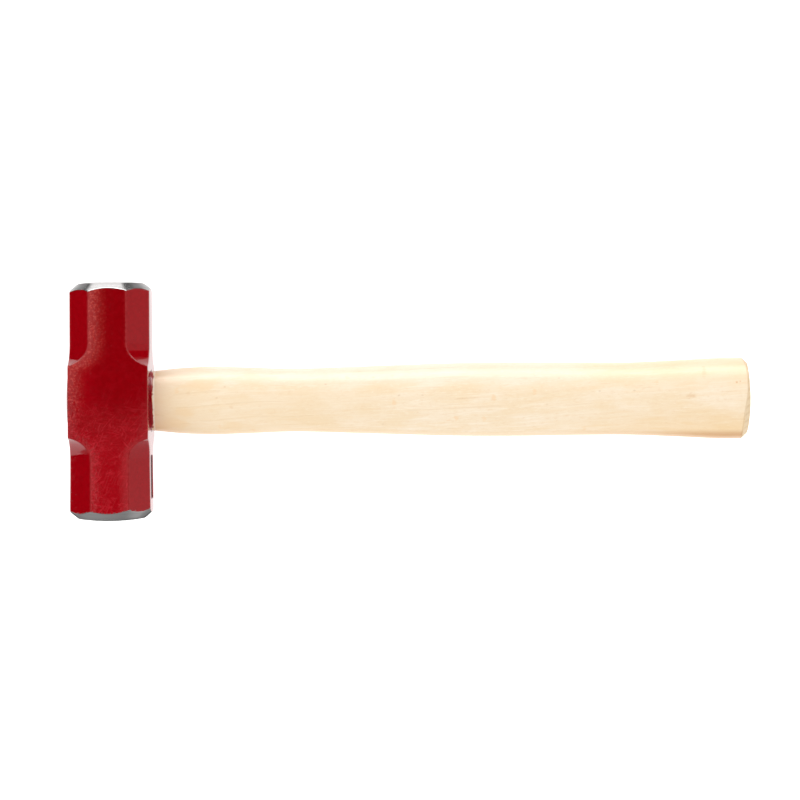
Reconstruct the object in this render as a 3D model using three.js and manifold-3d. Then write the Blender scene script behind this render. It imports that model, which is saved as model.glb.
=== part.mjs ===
// A hand sledgehammer of the 4 lb class: a forged square head whose two ends are chamfered to an octagon
// and turned to crowned striking faces, on an oval wooden handle held in the eye by one wooden wedge and
// two steel step wedges.
//
// Millimetres, +Z up. The hammer lies on one cheek of its head: +X runs along the handle away from the
// head, +Y along the head's striking axis. The origin is the centre of the cheek that it lies on.

import * as THREE from 'three';
import { mergeVertices } from 'three/addons/utils/BufferGeometryUtils.js';
import Module from 'manifold-3d';

// Driving dimensions -------------------------------------------------------------------------------------

const HEAD = {
  acrossFlats: 46.5,
  rimToRim: 136.4,
  crown: 1.6, // how far each striking face stands out of its rim
  rimRadius: 19.3,
  bevelRise: 0.8, // along the head, for each millimetre that the bevel closes in on the rim
  chamferLeg: 12.5, // the corner that each end chamfer takes off, along a flat
  chamferRoot: 33, // from the middle of the head to where the chamfer starts to run out
  runOutRadius: 12,
  cornerRadius: 0.8,
};

const EYE = {
  midHalf: 16.3, // half the long side at the waist of the hourglass
  mouthHalf: 17.6, // at the handle side
  topHalf: 17.9, // at the far side
};

const HANDLE = {
  flatness: 0.72, // thickness of the oval over its height
  proud: 1.5, // how far the tenon stands out of the top of the eye
  // Half height of the outline at each distance from the head's axis: neck, swell, waist, grip, palm.
  stations: [[23.25, 17.2], [42, 19.1], [60, 19.75], [80, 19.25], [109, 18.4], [158, 19.95], [200, 21.25],
    [236, 21.5], [294, 21.05], [326, 22.15], [350, 23.35], [366, 23.5]],
  endHalf: 20.4, // half height of the sawn end inside its bevel
  endBevelEnd: 369.1,
  length: 370.9, // from the head's axis to the crest of the domed end
};

const WOOD_WEDGE = {
  depth: 30,
  topThickness: 5,
  tipThickness: 1.2,
  kerfExtra: 2, // the saw cut goes this much deeper than the wedge
};

const STEEL_WEDGE = {
  depth: 22,
  width: 16,
  topThickness: 3.2,
  tipThickness: 0.9,
  steps: 4,
  stepHeight: 0.3,
  offset: 7.5, // from the middle of the eye, along its long side
  turn: 45, // degrees from square across the wooden wedge
};

const FIT_GAP = 0.3; // clearance between pieces that are driven together
const OVAL_GAP = 0.4; // the same on the long side of the oval; flatness brings it to about 0.3 on the short
const OVERSIZE = 4; // how far a cutter passes the surface that it cuts

const HALF_FLATS = HEAD.acrossFlats / 2;
const TENON_TOP = -(HALF_FLATS + HANDLE.proud);

// Looks --------------------------------------------------------------------------------------------------

const ENAMEL = new THREE.MeshStandardMaterial({ color: 0x8f0a12, roughness: 0.3, metalness: 0 });
const ASH = new THREE.MeshStandardMaterial({ color: 0xf6dfc0, roughness: 0.5, metalness: 0 });
const BEECH = new THREE.MeshStandardMaterial({ color: 0xc79a63, roughness: 0.7, metalness: 0 });
const STEEL = new THREE.MeshStandardMaterial({ color: 0x8a8684, roughness: 0.4, metalness: 1 });

// Solids -------------------------------------------------------------------------------------------------

const wasm = await Module();
wasm.setup();

function toSolid(geometry) {
  const bare = geometry.clone();
  bare.deleteAttribute('normal');
  bare.deleteAttribute('uv');
  const merged = mergeVertices(bare, 1e-4);
  return new wasm.Manifold(new wasm.Mesh({
    numProp: 3,
    vertProperties: Float32Array.from(merged.attributes.position.array),
    triVerts: Uint32Array.from(merged.index.array),
  }));
}

function toMesh(name, solid, material) {
  const { vertProperties, triVerts } = solid.getMesh();
  const geometry = new THREE.BufferGeometry();
  geometry.setAttribute('position', new THREE.BufferAttribute(vertProperties, 3));
  geometry.setIndex(new THREE.BufferAttribute(triVerts, 1));
  geometry.computeVertexNormals();
  const mesh = new THREE.Mesh(geometry, material);
  mesh.name = name;
  return mesh;
}

function arc(centreX, centreY, radius, fromDegrees, toDegrees, pieces) {
  const from = THREE.MathUtils.degToRad(fromDegrees);
  const to = THREE.MathUtils.degToRad(toDegrees);
  return new THREE.EllipseCurve(centreX, centreY, radius, radius, from, to, to < from).getPoints(pieces);
}

// A prism of the outline, as long as given and centred on the outline's plane.
function centredPrism(outline, length) {
  const prism = new THREE.ExtrudeGeometry(outline, { depth: length, bevelEnabled: false, curveSegments: 4 });
  return prism.translate(0, 0, -length / 2);
}

// An oval solid about the X axis. The profile lists (half height along Y, place along X), from end to end.
function ovalSolid(profile, segments) {
  const turned = new THREE.LatheGeometry(profile, segments).rotateZ(-Math.PI / 2);
  return toSolid(turned.scale(1, 1, HANDLE.flatness));
}

// Head ---------------------------------------------------------------------------------------------------

// The square bar, with its long corners eased, along Y.
function squareBar() {
  const straight = HALF_FLATS - HEAD.cornerRadius;
  const outline = new THREE.Shape();
  outline.absarc(straight, straight, HEAD.cornerRadius, 0, Math.PI / 2);
  outline.absarc(-straight, straight, HEAD.cornerRadius, Math.PI / 2, Math.PI);
  outline.absarc(-straight, -straight, HEAD.cornerRadius, Math.PI, 1.5 * Math.PI);
  outline.absarc(straight, -straight, HEAD.cornerRadius, 1.5 * Math.PI, 2 * Math.PI);
  return toSolid(centredPrism(outline, HEAD.rimToRim + 2 * OVERSIZE).rotateX(Math.PI / 2));
}

// What a lathe leaves of the bar: a bevel and a crowned face at each end.
function turnedEnvelope() {
  const { rimRadius, bevelRise, crown } = HEAD;
  const rim = HEAD.rimToRim / 2;
  const crownRadius = (rimRadius ** 2 + crown ** 2) / (2 * crown);
  const crownHalfAngle = THREE.MathUtils.radToDeg(Math.asin(rimRadius / crownRadius));
  const face = arc(0, rim + crown - crownRadius, crownRadius, 90 - crownHalfAngle, 90, 4);
  face[face.length - 1].x = 0;
  const bevelWidth = HALF_FLATS + OVERSIZE - rimRadius;
  const bevelStart = rim - bevelRise * bevelWidth;
  const clear = HEAD.acrossFlats;
  const upper = [
    new THREE.Vector2(clear, bevelStart),
    new THREE.Vector2(rimRadius + bevelWidth, bevelStart),
    ...face,
  ];
  const lower = upper.map((point) => new THREE.Vector2(point.x, -point.y)).reverse();
  return toSolid(new THREE.LatheGeometry([...lower, ...upper], 64));
}

// The cutter that planes one corner off one end and runs out in a hollow curve towards the middle.
function cornerCutter() {
  const { chamferRoot, runOutRadius, chamferLeg } = HEAD;
  const past = HEAD.rimToRim / 2 + OVERSIZE;
  const outline = new THREE.Shape([
    ...arc(chamferRoot, runOutRadius, runOutRadius, 180, 270, 8),
    new THREE.Vector2(past, 0),
    new THREE.Vector2(past, runOutRadius),
  ]);
  const axisToChamfer = (HEAD.acrossFlats - chamferLeg) / Math.SQRT2;
  const cutter = centredPrism(outline, 2 * chamferLeg);
  cutter.rotateZ(Math.PI / 2); // the cut now runs along +Y and opens towards -X
  cutter.translate(-axisToChamfer, 0, 0);
  return cutter.rotateY(Math.PI / 4);
}

function eyeHalf(x) {
  const flare = (x > 0 ? EYE.mouthHalf : EYE.topHalf) - EYE.midHalf;
  return EYE.midHalf + flare * (x / HALF_FLATS) ** 2;
}

function eyeCutter() {
  const profile = [];
  const past = HALF_FLATS + OVERSIZE / 2;
  for (let step = -5; step <= 5; step += 1) {
    const x = (past * step) / 5;
    profile.push(new THREE.Vector2(eyeHalf(x), x));
  }
  return ovalSolid([new THREE.Vector2(0, -past), ...profile, new THREE.Vector2(0, past)], 36);
}

function hammerHead() {
  let head = squareBar().intersect(turnedEnvelope());
  for (let corner = 0; corner < 4; corner += 1) {
    for (let end = 0; end < 2; end += 1) {
      const cutter = cornerCutter().rotateX(end * Math.PI).rotateY((corner * Math.PI) / 2);
      head = head.subtract(toSolid(cutter));
    }
  }
  return head.subtract(eyeCutter());
}

// Handle and wedges --------------------------------------------------------------------------------------

// The handle before its saw cut: the tenon fills the eye, and the rest swells, narrows and swells again.
function handleBlank() {
  const tenon = [];
  for (let step = 0; step < 8; step += 1) {
    const x = THREE.MathUtils.lerp(TENON_TOP, HALF_FLATS, step / 8);
    tenon.push(new THREE.Vector2(eyeHalf(x) - OVAL_GAP, x));
  }
  const outline = HANDLE.stations.map(([x, half]) => new THREE.Vector2(half, x));
  const grip = new THREE.SplineCurve(outline).getPoints(36);
  const { endHalf, endBevelEnd, length } = HANDLE;
  const dome = length - endBevelEnd;
  const domeRadius = (endHalf ** 2 + dome ** 2) / (2 * dome);
  const domeHalfAngle = THREE.MathUtils.radToDeg(Math.asin(endHalf / domeRadius));
  const end = arc(0, length - domeRadius, domeRadius, 90 - domeHalfAngle, 90, 3);
  end[end.length - 1].x = 0;
  return ovalSolid([new THREE.Vector2(0, TENON_TOP), ...tenon, ...grip, ...end], 36);
}

// A tapered plate: thickness along Z at its top and at its tip, width along Y, driven along +X.
function taperedPlate(from, to, topThickness, tipThickness, width) {
  const outline = new THREE.Shape([
    new THREE.Vector2(from, topThickness / 2),
    new THREE.Vector2(from, -topThickness / 2),
    new THREE.Vector2(to, -tipThickness / 2),
    new THREE.Vector2(to, tipThickness / 2),
  ]);
  return centredPrism(outline, width).rotateX(Math.PI / 2);
}

function woodWedgePlate() {
  const { depth, topThickness, tipThickness } = WOOD_WEDGE;
  return toSolid(taperedPlate(TENON_TOP, TENON_TOP + depth, topThickness, tipThickness, HEAD.acrossFlats));
}

// The saw cut, opened by the wedge: the same taper with clearance all round, and open at the top.
function kerfCutter() {
  const { depth, topThickness, tipThickness, kerfExtra } = WOOD_WEDGE;
  const slope = (topThickness - tipThickness) / depth;
  const top = topThickness + 2 * FIT_GAP + slope * OVERSIZE;
  const bottom = tipThickness + 2 * FIT_GAP - slope * kerfExtra;
  const from = TENON_TOP - OVERSIZE;
  const to = TENON_TOP + depth + kerfExtra;
  return toSolid(taperedPlate(from, to, top, bottom, HEAD.acrossFlats));
}

// Turns and shifts a steel wedge, or its slot, to its place in the tenon: side is -1 or 1.
function placeSteelWedge(geometry, side) {
  const turn = THREE.MathUtils.degToRad(90 - side * STEEL_WEDGE.turn);
  return toSolid(geometry.rotateX(turn).translate(0, side * STEEL_WEDGE.offset, 0));
}

// A step wedge: each step widens towards the top and then falls back, so that it bites the wood.
function steelWedge(side) {
  const { depth, width, topThickness, tipThickness, steps, stepHeight } = STEEL_WEDGE;
  const flank = [];
  for (let step = 0; step < steps; step += 1) {
    const tip = THREE.MathUtils.lerp(tipThickness, topThickness, step / steps) / 2;
    const rise = THREE.MathUtils.lerp(tipThickness, topThickness, (step + 1) / steps) / 2;
    flank.push(new THREE.Vector2(TENON_TOP + depth * (1 - step / steps), tip - (step > 0 ? stepHeight : 0)));
    flank.push(new THREE.Vector2(TENON_TOP + depth * (1 - (step + 1) / steps), rise));
  }
  const mirrored = flank.map((point) => new THREE.Vector2(point.x, -point.y)).reverse();
  const outline = new THREE.Shape([...flank, ...mirrored]);
  return placeSteelWedge(centredPrism(outline, width).rotateX(Math.PI / 2), side);
}

function steelWedgeSlot(side) {
  const { depth, width, topThickness, tipThickness } = STEEL_WEDGE;
  const slope = (topThickness - tipThickness) / depth;
  const top = topThickness + 2 * FIT_GAP + slope * OVERSIZE;
  const from = TENON_TOP - OVERSIZE;
  const to = TENON_TOP + depth + FIT_GAP;
  return placeSteelWedge(taperedPlate(from, to, top, tipThickness + 2 * FIT_GAP, width + 2 * FIT_GAP), side);
}

// Assembly -----------------------------------------------------------------------------------------------

const slots = steelWedgeSlot(-1).add(steelWedgeSlot(1));
const blank = handleBlank();
const handle = blank.subtract(kerfCutter()).subtract(slots);
const woodWedge = blank.intersect(woodWedgePlate()).subtract(slots);

const hammer = new THREE.Group();
hammer.add(
  toMesh('hammer_head', hammerHead(), ENAMEL),
  toMesh('handle', handle, ASH),
  toMesh('wood_wedge', woodWedge, BEECH),
  toMesh('steel_wedge_1', steelWedge(-1), STEEL),
  toMesh('steel_wedge_2', steelWedge(1), STEEL),
);
hammer.position.z = HALF_FLATS;

export default hammer;
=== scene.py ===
"""The looks of a hand sledgehammer: an enamelled steel head with ground ends, wedged on an ash handle.

Everything is in the part's own frame: +X along the handle away from the head, +Y along the head's striking
axis, +Z up, with the origin under the head where it rests. Shapes are worked out in millimetres about the
middle of the head and written to the meshes in metres.
"""

import math

import bmesh
import bpy
import numpy as np
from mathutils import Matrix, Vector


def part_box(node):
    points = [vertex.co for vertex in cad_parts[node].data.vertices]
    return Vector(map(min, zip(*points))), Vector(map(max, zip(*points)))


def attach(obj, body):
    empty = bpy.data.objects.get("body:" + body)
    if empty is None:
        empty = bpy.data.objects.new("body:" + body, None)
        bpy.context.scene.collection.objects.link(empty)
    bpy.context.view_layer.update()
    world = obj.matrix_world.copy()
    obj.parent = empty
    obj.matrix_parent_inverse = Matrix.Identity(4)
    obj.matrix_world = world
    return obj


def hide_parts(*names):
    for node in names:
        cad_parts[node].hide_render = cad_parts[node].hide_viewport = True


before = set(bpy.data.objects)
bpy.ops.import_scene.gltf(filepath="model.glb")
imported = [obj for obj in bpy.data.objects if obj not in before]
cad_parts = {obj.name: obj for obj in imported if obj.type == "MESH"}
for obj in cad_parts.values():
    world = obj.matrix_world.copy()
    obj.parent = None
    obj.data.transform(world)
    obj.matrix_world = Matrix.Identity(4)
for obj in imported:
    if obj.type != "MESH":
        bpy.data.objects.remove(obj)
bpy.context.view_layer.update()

MM = 0.001

# Sizes, in millimetres

HEAD_LOW, HEAD_HIGH = (np.array(corner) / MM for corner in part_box("hammer_head"))
HANDLE_LOW, HANDLE_HIGH = (np.array(corner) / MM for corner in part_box("handle"))
HALF = (HEAD_HIGH[2] - HEAD_LOW[2]) / 2  # half the width across the flats
MIDDLE = np.array([0.0, 0.0, HALF])  # where the head's axis and the handle's axis cross

CROWN = 1.6
RIM_Y = HEAD_HIGH[1] - CROWN
RIM_RADIUS = 19.3
CROWN_RADIUS = (RIM_RADIUS**2 + CROWN**2) / (2 * CROWN)
CHAMFER_LEG = 12.5
CHAMFER_DEPTH = CHAMFER_LEG / math.sqrt(2)
CHAMFER_DISTANCE = (2 * HALF - CHAMFER_LEG) / math.sqrt(2)
CHAMFER_ROOT = 33.0
RUN_OUT_LOWER, RUN_OUT_UPPER = 12.0, 14.0  # radius of the hollow that ends a chamfer, at each end
OFFSET_LOWER, OFFSET_UPPER = 0.8, -0.3  # of the chamfers of each end along X, as the grinder left them
CAMBER_ACROSS, CAMBER_ALONG = 0.06, 0.04  # how far a flat falls away at its edges and at its ends
ROLL_WIDTH, ROLL_CURVE = 7.0, 0.005  # the extra fall of a flat beside an edge, and its curvature
BEVEL_RISE = 0.8  # along the axis for each millimetre towards it
END_TILT = 0.011  # of the ground ends, which are not quite square to the axis
SPREAD = 0.3  # how far the lower end has spread sideways
EDGE, GROUND_EDGE, RIM_EDGE = 0.45, 0.2, 0.35  # how far each kind of edge is eased
PANEL = {"y": -44.0, "half_length": 12.6, "half_height": 7.2, "corner": 1.8, "depth": 0.45}

TENON_TOP = HANDLE_LOW[0]
TENON_EDGE = 0.55
HANDLE_END = HANDLE_HIGH[0]
FLATNESS = 0.72  # thickness of the handle's oval over its height
EYE_MID, EYE_MOUTH, EYE_TOP = 16.3, 17.6, 17.9
EYE_RIM = 1.1  # radius of the rounded rims of the eye
FIT = 0.25  # between the tenon and the eye
OUTLINE = [(23.25, 17.2), (42, 19.1), (60, 19.75), (80, 19.25), (109, 18.4), (158, 19.95), (200, 21.25),
           (236, 21.5), (294, 21.05), (326, 22.15), (350, 23.35), (366, 23.5)]
DOME_RADIUS = 112.0  # of the sawn palm end
ROUND = 128  # points round the handle

WOOD_WEDGE = {"depth": 30.0, "top": 5.0, "tip": 1.2}
STEEL_WEDGE = {"depth": 22.0, "width": 16.0, "top": 3.2, "tip": 0.9, "offset": 7.5, "turn": 45.0}
WEDGE_FIT = 0.06  # between a wedge and the sides of its slot
OVERSHOOT = 2  # how far a cutting tool stands out of what it cuts
BEAD_WIDTH, BEAD_HEIGHT = 2.5, 0.45  # of the paint round the handle


# Meshes

def put(name, data, *materials):
    """A new object in the scene."""
    for material in materials:
        data.materials.append(material)
    made = bpy.data.objects.new(name, data)
    bpy.context.scene.collection.objects.link(made)
    return made


def mesh_object(name, points, faces, *materials):
    """An object whose mesh holds these points, given in millimetres about the middle of the head."""
    mesh = bpy.data.meshes.new(name)
    mesh.from_pydata(((np.asarray(points) + MIDDLE) * MM).tolist(), [], faces)
    rebuilt = bmesh.new()
    rebuilt.from_mesh(mesh)
    bmesh.ops.recalc_face_normals(rebuilt, faces=rebuilt.faces)
    rebuilt.to_mesh(mesh)
    rebuilt.free()
    mesh.shade_smooth()
    return put(name, mesh, *materials)


def skin(rings, ends="poles"):
    """Points and faces of a tube through rings of equal length.

    Its ends get a pole each ("poles") or a flat polygon each ("polygons"), or they meet ("joined").
    """
    count, last = len(rings[0]), len(rings) - 1
    points = np.concatenate(rings)
    faces = []
    if ends == "polygons":
        faces = [tuple(range(count)), tuple(range(last * count, len(points)))[::-1]]
    for ring in range(len(rings) if ends == "joined" else last):
        here, there = ring * count, (ring + 1) % len(rings) * count
        for column in range(count):
            beside = (column + 1) % count
            faces.append((here + column, here + beside, there + beside, there + column))
    if ends == "poles":
        points = np.concatenate([points, [rings[0].mean(axis=0), rings[-1].mean(axis=0)]])
        for column in range(count):
            beside = (column + 1) % count
            faces.append((len(points) - 2, column, beside))
            faces.append((len(points) - 1, last * count + beside, last * count + column))
    return points, faces


def points_of(piece):
    """A piece's points, in millimetres about the middle of the head."""
    flat = np.empty(len(piece.data.vertices) * 3)
    piece.data.vertices.foreach_get("co", flat)
    return flat.reshape(-1, 3) / MM - MIDDLE


def apply_modifiers(piece):
    """Replaces a piece's mesh by what its modifiers make of it."""
    graph = bpy.context.evaluated_depsgraph_get()
    result = bpy.data.meshes.new_from_object(piece.evaluated_get(graph), depsgraph=graph)
    piece.modifiers.clear()
    piece.data = result


def combine(piece, other, operation="DIFFERENCE"):
    """Cuts or trims a piece by another, which is then removed."""
    modifier = piece.modifiers.new("combine", "BOOLEAN")
    modifier.operation = operation
    modifier.solver = "EXACT"
    modifier.object = other
    apply_modifiers(piece)
    bpy.data.objects.remove(other)


def clean(piece, closeness=0.002):
    """Merges points that lie on each other and drops the faces without area that cutting leaves behind."""
    mesh = bmesh.new()
    mesh.from_mesh(piece.data)
    bmesh.ops.remove_doubles(mesh, verts=mesh.verts, dist=closeness * MM)
    bmesh.ops.dissolve_degenerate(mesh, edges=mesh.edges, dist=closeness * MM)
    mesh.to_mesh(piece.data)
    mesh.free()


def sharpen(piece, degrees):
    """Smooth shading, except across edges that turn by more than the angle."""
    piece.data.shade_smooth()
    piece.data.set_sharp_from_angle(angle=math.radians(degrees))


def soften(piece, width):
    """Rounds a cut piece's sharp edges."""
    modifier = piece.modifiers.new("soften", "BEVEL")
    modifier.width = width * MM
    modifier.segments = 3
    modifier.limit_method = "ANGLE"
    modifier.angle_limit = math.radians(35)
    modifier.use_clamp_overlap = True
    apply_modifiers(piece)
    clean(piece)
    sharpen(piece, 40)


def store(piece, name, values):
    """A number for each point of a piece, for its material to read."""
    attribute = piece.data.attributes.new(name, "FLOAT", "POINT")
    attribute.data.foreach_set("value", np.asarray(values, np.float32))


def smooth_max(a, b, width):
    """The larger of two values, blended where they differ by less than the width."""
    blend = np.clip(0.5 + 0.5 * (a - b) / width, 0, 1)
    return b + (a - b) * blend + width * blend * (1 - blend)


def smooth_step(low, high, value):
    """0 where the value is at the first limit, 1 where it is at the second."""
    share = np.clip((value - low) / (high - low), 0, 1)
    return share * share * (3 - 2 * share)


def settle(points, field, rounds=8):
    """Moves points along the field's slope onto its zero surface."""
    reach, least_slope = 1e-3, 0.2
    for _ in range(rounds):
        slope = np.stack([field(points + reach * axis) - field(points - reach * axis) for axis in np.eye(3)],
                         axis=1) / (2 * reach)
        travel = field(points) / np.maximum((slope**2).sum(axis=1), least_slope)
        points = points - travel[:, None] * slope
    return points


# Node trees

class Tree:
    """Short names for the nodes of one procedural material or world."""

    def __init__(self, owner):
        owner.use_nodes = True
        self.owner = owner
        self.tree = owner.node_tree
        self.tree.nodes.clear()

    def add(self, kind, inputs=(), **settings):
        node = self.tree.nodes.new(kind)
        for name, value in settings.items():
            setattr(node, name, value)
        for name, value in dict(inputs).items():
            self.feed(node.inputs[name], value)
        return node

    def feed(self, socket, value):
        if isinstance(value, bpy.types.NodeSocket):
            self.tree.links.new(value, socket)
        else:
            socket.default_value = value

    def show(self, shader, kind="Material"):
        """Ends the tree with a shader and gives back what it belongs to."""
        self.tree.links.new(shader.outputs[0], self.add("ShaderNodeOutput" + kind).inputs["Surface"])
        return self.owner

    def finish(self, inputs):
        return self.show(self.add("ShaderNodeBsdfPrincipled", inputs))

    def math(self, operation, *values):
        return self.add("ShaderNodeMath", enumerate(values), operation=operation).outputs[0]

    def plus(self, first, second):
        return self.math("ADD", first, second)

    def fold(self, operation, first, *others):
        """An operation between two values, carried through any number of them."""
        for other in others:
            first = self.math(operation, first, other)
        return first

    def times(self, *values):
        return self.fold("MULTIPLY", *values)

    def most(self, *values):
        return self.fold("MAXIMUM", *values)

    def size(self, value, centre=0.0):
        """How far a value is from the centre."""
        return self.math("ABSOLUTE", self.math("SUBTRACT", value, centre) if centre else value)

    def choose(self, share, first, second):
        """The first value where the share is 0, the second where it is 1."""
        return self.plus(self.times(self.math("SUBTRACT", 1.0, share), first), self.times(share, second))

    def vector(self, operation, *values):
        node = self.add("ShaderNodeVectorMath", enumerate(values), operation=operation)
        return node.outputs["Value" if operation == "LENGTH" else "Vector"]

    def joined(self, x, y=0.0, z=0.0):
        return self.add("ShaderNodeCombineXYZ", {0: x, 1: y, 2: z}).outputs[0]

    def parts(self, vector):
        return self.add("ShaderNodeSeparateXYZ", {0: vector}).outputs

    def coordinate(self, name):
        return self.add("ShaderNodeTexCoord").outputs[name]

    def millimetres(self, centre=(0, 0, 0)):
        """The place of the shaded point from the centre, in millimetres of the part's frame."""
        inputs = {0: self.coordinate("Object"), "Scale": 1 / MM}
        place = self.add("ShaderNodeVectorMath", inputs, operation="SCALE").outputs["Vector"]
        return self.vector("SUBTRACT", place, tuple(centre))

    def mapped(self, vector, location=(0, 0, 0), rotation=(0, 0, 0), scale=(1, 1, 1)):
        inputs = {"Vector": vector, "Location": location, "Rotation": rotation, "Scale": scale}
        return self.add("ShaderNodeMapping", inputs).outputs[0]

    def noise(self, vector, size, detail=2.0, roughness=0.5):
        """Noise from 0 to 1 whose features are about this many millimetres across."""
        inputs = {"Vector": vector, "Scale": 1 / size, "Detail": detail, "Roughness": roughness}
        return self.add("ShaderNodeTexNoise", inputs).outputs["Fac"]

    def cells(self, vector, size):
        """(distance to the nearest cell centre in cell sizes, that cell's random colour)."""
        outputs = self.add("ShaderNodeTexVoronoi", {"Vector": vector, "Scale": 1 / size}).outputs
        return outputs["Distance"], outputs["Color"]

    def linear(self, value, low, high, to_low=0.0, to_high=1.0, curve="LINEAR"):
        """A value between two limits, mapped to a range of its own and held at its ends."""
        inputs = {"Value": value, "From Min": low, "From Max": high, "To Min": to_low, "To Max": to_high}
        return self.add("ShaderNodeMapRange", inputs, interpolation_type=curve).outputs[0]

    def step(self, *limits):
        """The same as linear, with a smooth start and end."""
        return self.linear(*limits, curve="SMOOTHSTEP")

    def spread(self, noise, low, high):
        """Noise, which seldom leaves 0.3 to 0.7, spread over a range of its own."""
        return self.linear(noise, 0.3, 0.7, low, high)

    def hairline(self, field, width):
        """1 where a field from 0 to 1 passes through its middle, falling to 0 within that width."""
        return self.step(self.size(field, 0.5), width, 0)

    def mix(self, share, first, second):
        node = self.add("ShaderNodeMix", {0: share}, data_type="RGBA")
        for socket, colour in ((6, first), (7, second)):
            self.feed(node.inputs[socket], colour if isinstance(colour, bpy.types.NodeSocket) else (*colour, 1))
        return node.outputs[2]

    def layered(self, colour, *layers):
        """The colour under layers, each given as its shares, which are multiplied, and its colour."""
        for *shares, over in layers:
            colour = self.mix(self.times(*shares), colour, over)
        return colour

    def bumps(self, *layers):
        """Bumps on top of each other, each given as (height from 0 to 1, depth in millimetres)."""
        below = {}
        for height, depth in layers:
            inputs = {"Height": height, "Distance": depth * MM, "Strength": 1.0, **below}
            below = {"Normal": self.add("ShaderNodeBump", inputs).outputs[0]}
        return below["Normal"]

    def attribute(self, name):
        return self.add("ShaderNodeAttribute", attribute_name=name).outputs["Fac"]


def new_material(name):
    return Tree(bpy.data.materials.new(name))


# Materials

ENAMEL = {
    "coat": ((0.242, 0.0002, 0.0028), (0.288, 0.0005, 0.004)),
    # Painted shade, for the flats' upper end on the handle's side.
    "painted shade coat": ((0.205, 0.0001, 0.002), (0.248, 0.0003, 0.003)),
    # Painted light, for the lower end of the flats.
    "painted lit coat": (0.325, 0.0004, 0.0045),
    "speckle": (0.19, 0.0001, 0.002),
    # Painted reflections, for the band beside the flats' edges.
    "painted wash": (0.50, 0.065, 0.05),
    "painted glint": ((0.50, 0.010, 0.022), (0.58, 0.07, 0.055)),
    "pit": (0.20, 0.0001, 0.002),
    "scratch": (0.52, 0.022, 0.034),
    "dust": (0.36, 0.045, 0.045),
    "thin coat": (0.31, 0.02, 0.02),
    "bare steel": (0.33, 0.31, 0.30),
    "run": (0.25, 0.006, 0.01),
}

# Sets of fine scratches: their turn from X in degrees, spacing, squeeze along the lines, width and seed.
SCRATCHES = [(47, 3.4, 0.07, 0.022, 5.0), (24, 3.0, 0.09, 0.022, 41.0), (-38, 2.6, 0.12, 0.022, 17.0),
             (68, 1.8, 0.11, 0.032, 29.0), (-8, 2.0, 0.09, 0.032, 63.0)]

ASH = {
    "base": ((0.885, 0.745, 0.562), (0.86, 0.69, 0.472)),
    "late wood": (0.82, 0.60, 0.37),
    "dark mottle": (0.80, 0.59, 0.38),
    "light streak": (0.94, 0.83, 0.67),
    "dark streak": (0.82, 0.60, 0.38),
    "fibre": (0.74, 0.53, 0.33),
    "golden flow": (0.85, 0.645, 0.40),
    "pale flow": (0.93, 0.815, 0.665),
    "thread": (0.95, 0.86, 0.71),
    "pore": (0.70, 0.48, 0.26),
    "fleck": (0.56, 0.36, 0.20),
    "spot": (0.86, 0.58, 0.31),
    "stain": (0.70, 0.44, 0.22),
    "paint stain": (0.90, 0.22, 0.20),
    "faint paint": (0.85, 0.30, 0.28),
    "warm palm": (0.83, 0.56, 0.26),
    # Painted shade: along the handle's -Y edge near the palm end, and over the +Y side of the palm end where it
    # dims the highlight.
    "shaded palm edge": (0.49, 0.20, 0.05),
    "palm top shade": (0.86, 0.61, 0.385),
    "waist": (0.84, 0.625, 0.37),
    # Painted highlight: a paler tone where the highlight lies on the +Y side.
    "painted highlight tone": (0.80, 0.69, 0.575),
    # Painted shade beside the head.
    "shade by head": (0.80, 0.60, 0.37),
    "golden cloud": (0.84, 0.60, 0.34),
    # A painted highlight: a pale ring just beyond the paint beside the head.
    "painted highlight ring": (0.96, 0.90, 0.76),
    # Painted shade on the surfaces that face -Y.
    "shaded lower side": (0.80, 0.56, 0.34),
    "end grain": ((0.70, 0.54, 0.345), (0.645, 0.48, 0.29)),
    "end pore": (0.42, 0.28, 0.15),
    "arris": (0.50, 0.33, 0.17),
}

# Small stains on the upper side of the handle: x, y, length, width, strength and colour.
STAINS = [
    (29.5, 12.0, 2.6, 1.4, 0.5, "stain"),
    (45.5, 4.0, 1.8, 1.5, 0.35, "stain"),
    (70.5, -4.0, 1.4, 1.4, 0.35, "stain"),
    (335.3, 1.3, 3.2, 1.8, 0.42, "stain"),
    (343.5, 15.3, 1.5, 4.0, 0.5, "stain"),
    (361.9, 9.0, 0.7, 0.7, 1.0, "stain"),
    (363.9, 9.6, 0.6, 0.6, 1.0, "stain"),
    (25.6, -15.0, 1.4, 0.9, 0.7, "paint stain"),
    (25.4, 16.8, 1.2, 0.9, 0.6, "faint paint"),
]


def scratch_set(t, place, turn, size, squeeze, width, seed):
    """Thin wandering lines in patches."""
    along = t.mapped(place, (seed, seed * 0.7, seed * 1.3), (0, 0, math.radians(-turn)))
    field = t.noise(t.mapped(along, scale=(squeeze, 1, 1)), size, detail=1)
    patch = t.step(t.noise(along, size * 2.4, detail=1), 0.46, 0.6)
    return t.times(t.hairline(field, width), patch)


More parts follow.
